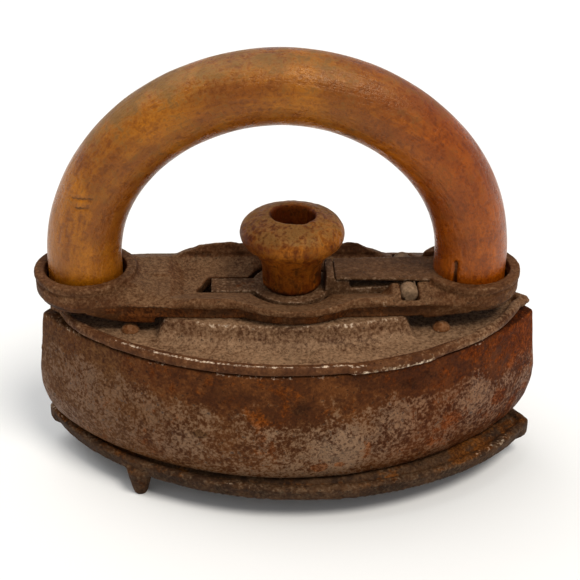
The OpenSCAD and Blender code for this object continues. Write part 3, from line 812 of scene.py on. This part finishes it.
def make_knob():
    z0, top = KNOB_LOW[2], KNOB_HIGH[2]
    middle_x = (KNOB_LOW[0] + KNOB_HIGH[0]) / 2
    widest = (KNOB_HIGH[0] - KNOB_LOW[0]) / 2
    head_z = top - 6.2                                  # height of the widest ring
    bore, well, well_floor = 2.6, 6.8, 73.2
    turns = np.radians(range(-60, 76, 15))
    head = [[widest - 7.2 + 7.2 * math.cos(a), head_z + 5.6 * math.sin(a)] for a in turns]
    corners = [[bore, z0], [8.6, z0], [9.3, z0 + 1], [9.3, z0 + 6], [10, z0 + 9.2], *head,
               [9, top - 0.1], [well + 0.5, top - 0.1], [well, top - 0.9], [well - 0.1, well_floor],
               [bore, well_floor]]
    around = 240
    phi = np.arange(around) / around * 2 * math.pi
    rings = [np.stack([middle_x + r * np.cos(phi), r * np.sin(phi), np.full(around, z)], axis=1)
             for r, z in smooth_line(corners, 0.32, 0.8)]
    rings.append(rings[0])
    piece = from_rings("wooden_knob_worn", rings, closed_ends=False)
    mesh = piece.data
    points, normals = points_of(mesh), normals_of(mesh)
    centred = points - [middle_x, 0, 0]
    distance = np.hypot(centred[:, 0], centred[:, 1])
    body = fade(distance, 3, 5)
    push = 0.16 * noise(points, 12, 61) + 0.07 * noise(points, (1.6, 1.6, 8), 62) - 0.08
    push += 0.04 * noise(points, 1.1, 63) - 0.3 * fade(noise(points, 3.6, 64), 0.5, 0.85)
    inside = (distance < 8.2) * fade(points[:, 2], 75, 77)
    push += 0.35 * noise(points, 5, 65) * inside
    set_points(mesh, points + normals * (push * body)[:, None])

    layer = mesh.attributes.new("grain", "FLOAT_VECTOR", "POINT")
    layer.data.foreach_set("vector", (centred * MM).astype(np.float32).ravel())
    z = points[:, 2]
    in_well = fade(distance, well + 0.8, well + 0.1)
    on_head = fade(normals[:, 2], 0.1, 0.8) * fade(z, 77, 82)
    mottled = fade(noise(points, 1.1, 67) + centred[:, 0] / 30, -0.2, 0.6) * fade(z, 78, 74)
    # Painted shadow at the neck's foot and painted shade inside the well; the neck is darker lower down.
    dark = 0.08 + 0.08 * fade(z, 76, 71) + 0.5 * fade(z, z0 + 2.2, z0 + 0.3) + 0.32 * in_well
    dark += 0.16 * fade(noise(points, 3, 66), 0.1, 0.7) + 0.24 * mottled
    paint(piece, "worn", -0.06 + 0.34 * on_head + 0.12 * fade(z, 74, 78) - 0.5 * in_well)
    paint(piece, "dark", dark)
    paint(piece, "warm", 0.35 * fade(z, 79, 75) + 0.7 * in_well)
    finish_piece(piece, "wooden_knob", "latch", wood_skin(
        "knob_wood", light=(0.345, 0.110, 0.008), deep=(0.110, 0.022, 0.002), worn=(0.29, 0.145, 0.040),
        fleck=(0.050, 0.011, 0.001), shift=33.0, gloss=0.45, coat=0.04, shine=0.2, grit=1.0))


def small_iron(node, body, slot, voxel, rounding, seed, brown, shade, rust_level=0.28, pits=0.06):
    """A worn copy of a small iron piece, brown with brighter edges and rust in its corners."""
    piece = remeshed(node, voxel, rounding)
    rough_cast(piece, seed, swell=0.04, lumps=0.03, pits=pits, grain=0.015)
    mesh = piece.data
    edge = np.clip(ridges(mesh), -1, 1)
    points = points_of(mesh)
    paint(piece, "bare", -0.02 + 0.26 * fade(edge, 0.25, 0.9))
    paint(piece, "rust", -0.08 + 0.2 * fade(-edge, 0.1, 0.8) + 0.1 * noise(points, 6, seed + 1))
    paint(piece, "dark", 0.3 * fade(-edge, 0.1, 0.7))
    finish_piece(piece, node, body, iron_skin(
        slot, brown, shade, metal=(0.36, 0.24, 0.15), rust=(0.30, 0.085, 0.014), bare_level=0.26,
        rust_level=rust_level, shift=seed * 1.3))


def make_spring():
    """The leaf spring: a thin strip, wider at its root, a little bowed."""
    thick = SPRING_HIGH[2] - SPRING_LOW[2]
    tip, root = SPRING_LOW[0], SPRING_HIGH[0]
    rings = []
    for x in np.linspace(tip, root, 120):
        t = (x - tip) / (root - tip)
        half = np.interp(t, (0, 1), SPRING_HALF_WIDTH)
        bow = 0.30 * math.sin(math.pi * t) + 0.10 * (1 - t)
        across = np.linspace(-half, half, 44)
        crown = 0.12 * (1 - (across / half) ** 2)
        height = SPRING_HIGH[2] - 0.12 + bow * 0.4 + crown
        upper = np.stack([np.full(44, x), across, height], axis=1)
        lower = upper[::-1] - [0, 0, thick - 0.05]
        rings.append(np.concatenate([upper, lower]))
    piece = from_rings("latch_spring_worn", rings)
    soften(piece, 0.4, 2)
    rough_cast(piece, 71, swell=0.05, lumps=0.02, pits=0.05, grain=0.01)
    points = points_of(piece.data)
    x, y = points[:, 0], points[:, 1]
    rim = fade(np.abs(y) - np.interp(x, (tip, root), SPRING_HALF_WIDTH), -0.9, -0.15)
    rim = np.maximum(rim, fade(x, tip + 0.9, tip + 0.1))
    paint(piece, "bare", -0.12 + 0.32 * rim)
    paint(piece, "rust", -0.14 + 0.1 * noise(points, 9, 72))
    paint(piece, "dark", 0.06 + 0.1 * noise(points, 6, 73))
    finish_piece(piece, "latch_spring", None, iron_skin(
        "spring_steel", brown=(0.112, 0.050, 0.020), shade=(0.078, 0.034, 0.013), metal=(0.30, 0.20, 0.12),
        rust=(0.15, 0.050, 0.012), dust=(0.13, 0.072, 0.038), bare_level=0.22, rust_level=0.20,
        shift=14.0, shine=0.4, sheen_rough=0.5))
    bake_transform(piece)


def make_stand():
    piece = remeshed("stand", 0.6, 4)
    mesh = piece.data
    low, high = box_mm("stand")
    half_length = (high[0] - low[0]) / 2
    half_width = 42.4
    turn = math.radians(-4.3)
    points = round_points(points_of(mesh), half_length + 3.4, half_width, half_length, 0.11, turn)
    set_points(mesh, points)
    rough_cast(piece, 81, swell=0.16, lumps=0.07, pits=0.12, grain=0.03)
    points, normals = points_of(mesh), normals_of(mesh)
    points[:, 2] = np.maximum(points[:, 2], low[2])     # the feet stay on the table
    set_points(mesh, points)
    edge = np.clip(ridges(mesh), -1, 1)
    x = points[:, 0]
    ledge = fade(normals[:, 2], 0.4, 0.8)
    rust = -0.06 + 0.12 * fade(-edge, 0.1, 0.8) + 0.16 * fade(x, -30, -70)
    rust += ledge * (0.18 * fade(noise(points, 8, 82), -0.2, 0.5) + 0.22 * fade(x, 35, 70))
    paint(piece, "bare", -0.16 + 0.14 * fade(edge, 0.2, 0.8) + 0.1 * ledge * noise(points, 14, 84))
    # A painted highlight along the rim's edges.
    paint(piece, "painted_glint", 0.40 * fade(edge, 0.55, 0.95) * fade(noise(points, 12, 86), -0.4, 0.4))
    paint(piece, "dust", -0.05 + 0.2 * ledge * noise(points, 10, 85))
    paint(piece, "rust", rust)
    # Painted shade on the side and downward faces.
    paint(piece, "dark", 0.10 + 0.22 * fade(normals[:, 2], 0.3, -0.2) + 0.16 * noise(points, 12, 83))
    finish_piece(piece, "stand", "stand", iron_skin(
        "stand_iron", brown=(0.082, 0.037, 0.015), shade=(0.034, 0.016, 0.008), metal=(0.22, 0.15, 0.09),
        rust=(0.19, 0.060, 0.008), dust=(0.11, 0.07, 0.04), bare_level=0.30, rust_level=0.30,
        shift=17.0, shine=0.45, sheen_rough=0.6))


def make_filling():
    piece = remeshed("core_filling", 1.4, 2)
    mesh = piece.data
    points, normals = points_of(mesh), normals_of(mesh)
    set_points(mesh, points + normals * (0.25 * layered(points, 5, 91) - 0.2)[:, None])
    skin = Skin("plaster")
    chalk = skin.mix(skin.noise(6, 6, 0.6), (0.26, 0.21, 0.16), (0.13, 0.10, 0.075))
    holes = skin.step(skin.cells(1.6), 0.12, 0.26)
    roughness = skin.step(skin.noise(2), 0.3, 0.7, 0.82, 0.95)
    normal = skin.bump(holes, 0.3, skin.bump(skin.noise(1.1, 5), 0.2))
    skin.set(Base_Color=skin.mix(holes, (0.10, 0.08, 0.06), chalk), Roughness=roughness, Normal=normal)
    finish_piece(piece, "core_filling", "iron", skin.material)


# ---------------------------------------------------------------- room, lights and camera

def make_floor():
    mesh = bpy.data.meshes.new("floor")
    reach, segments = 3.0, 24
    side = np.linspace(-reach, reach, segments + 1)
    points = [(x, y, 0) for y in side for x in side]
    row = segments + 1
    faces = [(i * row + j, i * row + j + 1, (i + 1) * row + j + 1, (i + 1) * row + j)
             for i in range(segments) for j in range(segments)]
    mesh.from_pydata(points, [], faces)
    floor = bpy.data.objects.new("floor", mesh)
    bpy.context.scene.collection.objects.link(floor)
    skin = Skin("pale_floor")
    skin.set(Base_Color=(0.90, 0.90, 0.89))
    skin.shader.inputs["Roughness"].default_value = 0.85
    mesh.materials.append(skin.material)


def soft_sun(name, toward, strength, spread, colour):
    """Even light from a wide, distant source that lies in the direction toward."""
    light = bpy.data.lights.new(name, "SUN")
    light.energy = strength
    light.angle = math.radians(spread)
    light.color = colour
    lamp = bpy.data.objects.new(name, light)
    bpy.context.scene.collection.objects.link(lamp)
    lamp.location = Vector(toward)
    lamp.rotation_euler = Vector(toward).to_track_quat("Z", "Y").to_euler()


def make_lights():
    world = bpy.data.worlds.new("studio")
    bpy.context.scene.world = world
    world.use_nodes = True
    background = world.node_tree.nodes["Background"]
    background.inputs["Color"].default_value = (0.95, 0.975, 1.0, 1)
    background.inputs["Strength"].default_value = 0.5
    soft_sun("key", (0.35, -0.45, 1.0), 1.9, 22, (1.0, 0.95, 0.88))
    soft_sun("top", (-0.45, 0.25, 1.0), 0.9, 50, (1.0, 0.98, 0.96))


def make_camera():
    """The photograph's viewpoint: a short telephoto, 29 degrees up and almost square on to the iron."""
    azimuth = math.radians(2.5)
    elevation = math.radians(29.25)
    roll = math.radians(0.92)
    distance = 0.424
    target = Vector((0, 0, 0.0597))
    back = Vector((-math.sin(azimuth) * math.cos(elevation), -math.cos(azimuth) * math.cos(elevation),
                   math.sin(elevation)))
    right = Vector((0, 0, 1)).cross(back).normalized()
    up = back.cross(right)
    across = right * math.cos(roll) + up * math.sin(roll)
    upward = up * math.cos(roll) - right * math.sin(roll)
    place = target + back * distance
    camera = bpy.data.objects.new("camera", bpy.data.cameras.new("camera"))
    bpy.context.scene.collection.objects.link(camera)
    rows = [[across[i], upward[i], back[i], place[i]] for i in range(3)]
    camera.matrix_world = Matrix(rows + [[0, 0, 0, 1]])
    camera.data.lens = 83.3
    camera.data.sensor_width = 36
    camera.data.clip_start = 0.01
    bpy.context.scene.camera = camera


make_camera()
make_lights()
make_floor()
make_stand()
make_core()
make_filling()
make_cover()
small_iron("cover_rivets", "iron", "rivet_iron", 0.24, 1, 101, (0.31, 0.135, 0.055), (0.17, 0.065, 0.022),
           rust_level=0.42, pits=0.3)
make_frame()
make_grip()
brown, umber = (0.110, 0.052, 0.022), (0.062, 0.027, 0.011)
small_iron("grip_screws", "handle", "screw_iron", 0.22, 2, 103, brown, umber)
make_spring()
small_iron("latch_pin", "handle", "pin_iron", 0.2, 5, 105, (0.26, 0.165, 0.095), (0.15, 0.085, 0.045),
           pits=0.14)
small_iron("latch_plate", "latch", "latch_iron", 0.26, 3, 107, (0.125, 0.060, 0.027),
           (0.078, 0.035, 0.015))
make_knob()
small_iron("knob_stud", "latch", "stud_iron", 0.18, 2, 109, umber, (0.035, 0.015, 0.007), rust_level=0.45)
small_iron("knob_washer", "latch", "washer_iron", 0.16, 1, 111, brown, umber, rust_level=0.45, pits=0.03)
small_iron("knob_nut", "latch", "nut_iron", 0.16, 2, 113, brown, umber, rust_level=0.5, pits=0.04)

bpy.context.scene.view_settings.view_transform = "Standard"
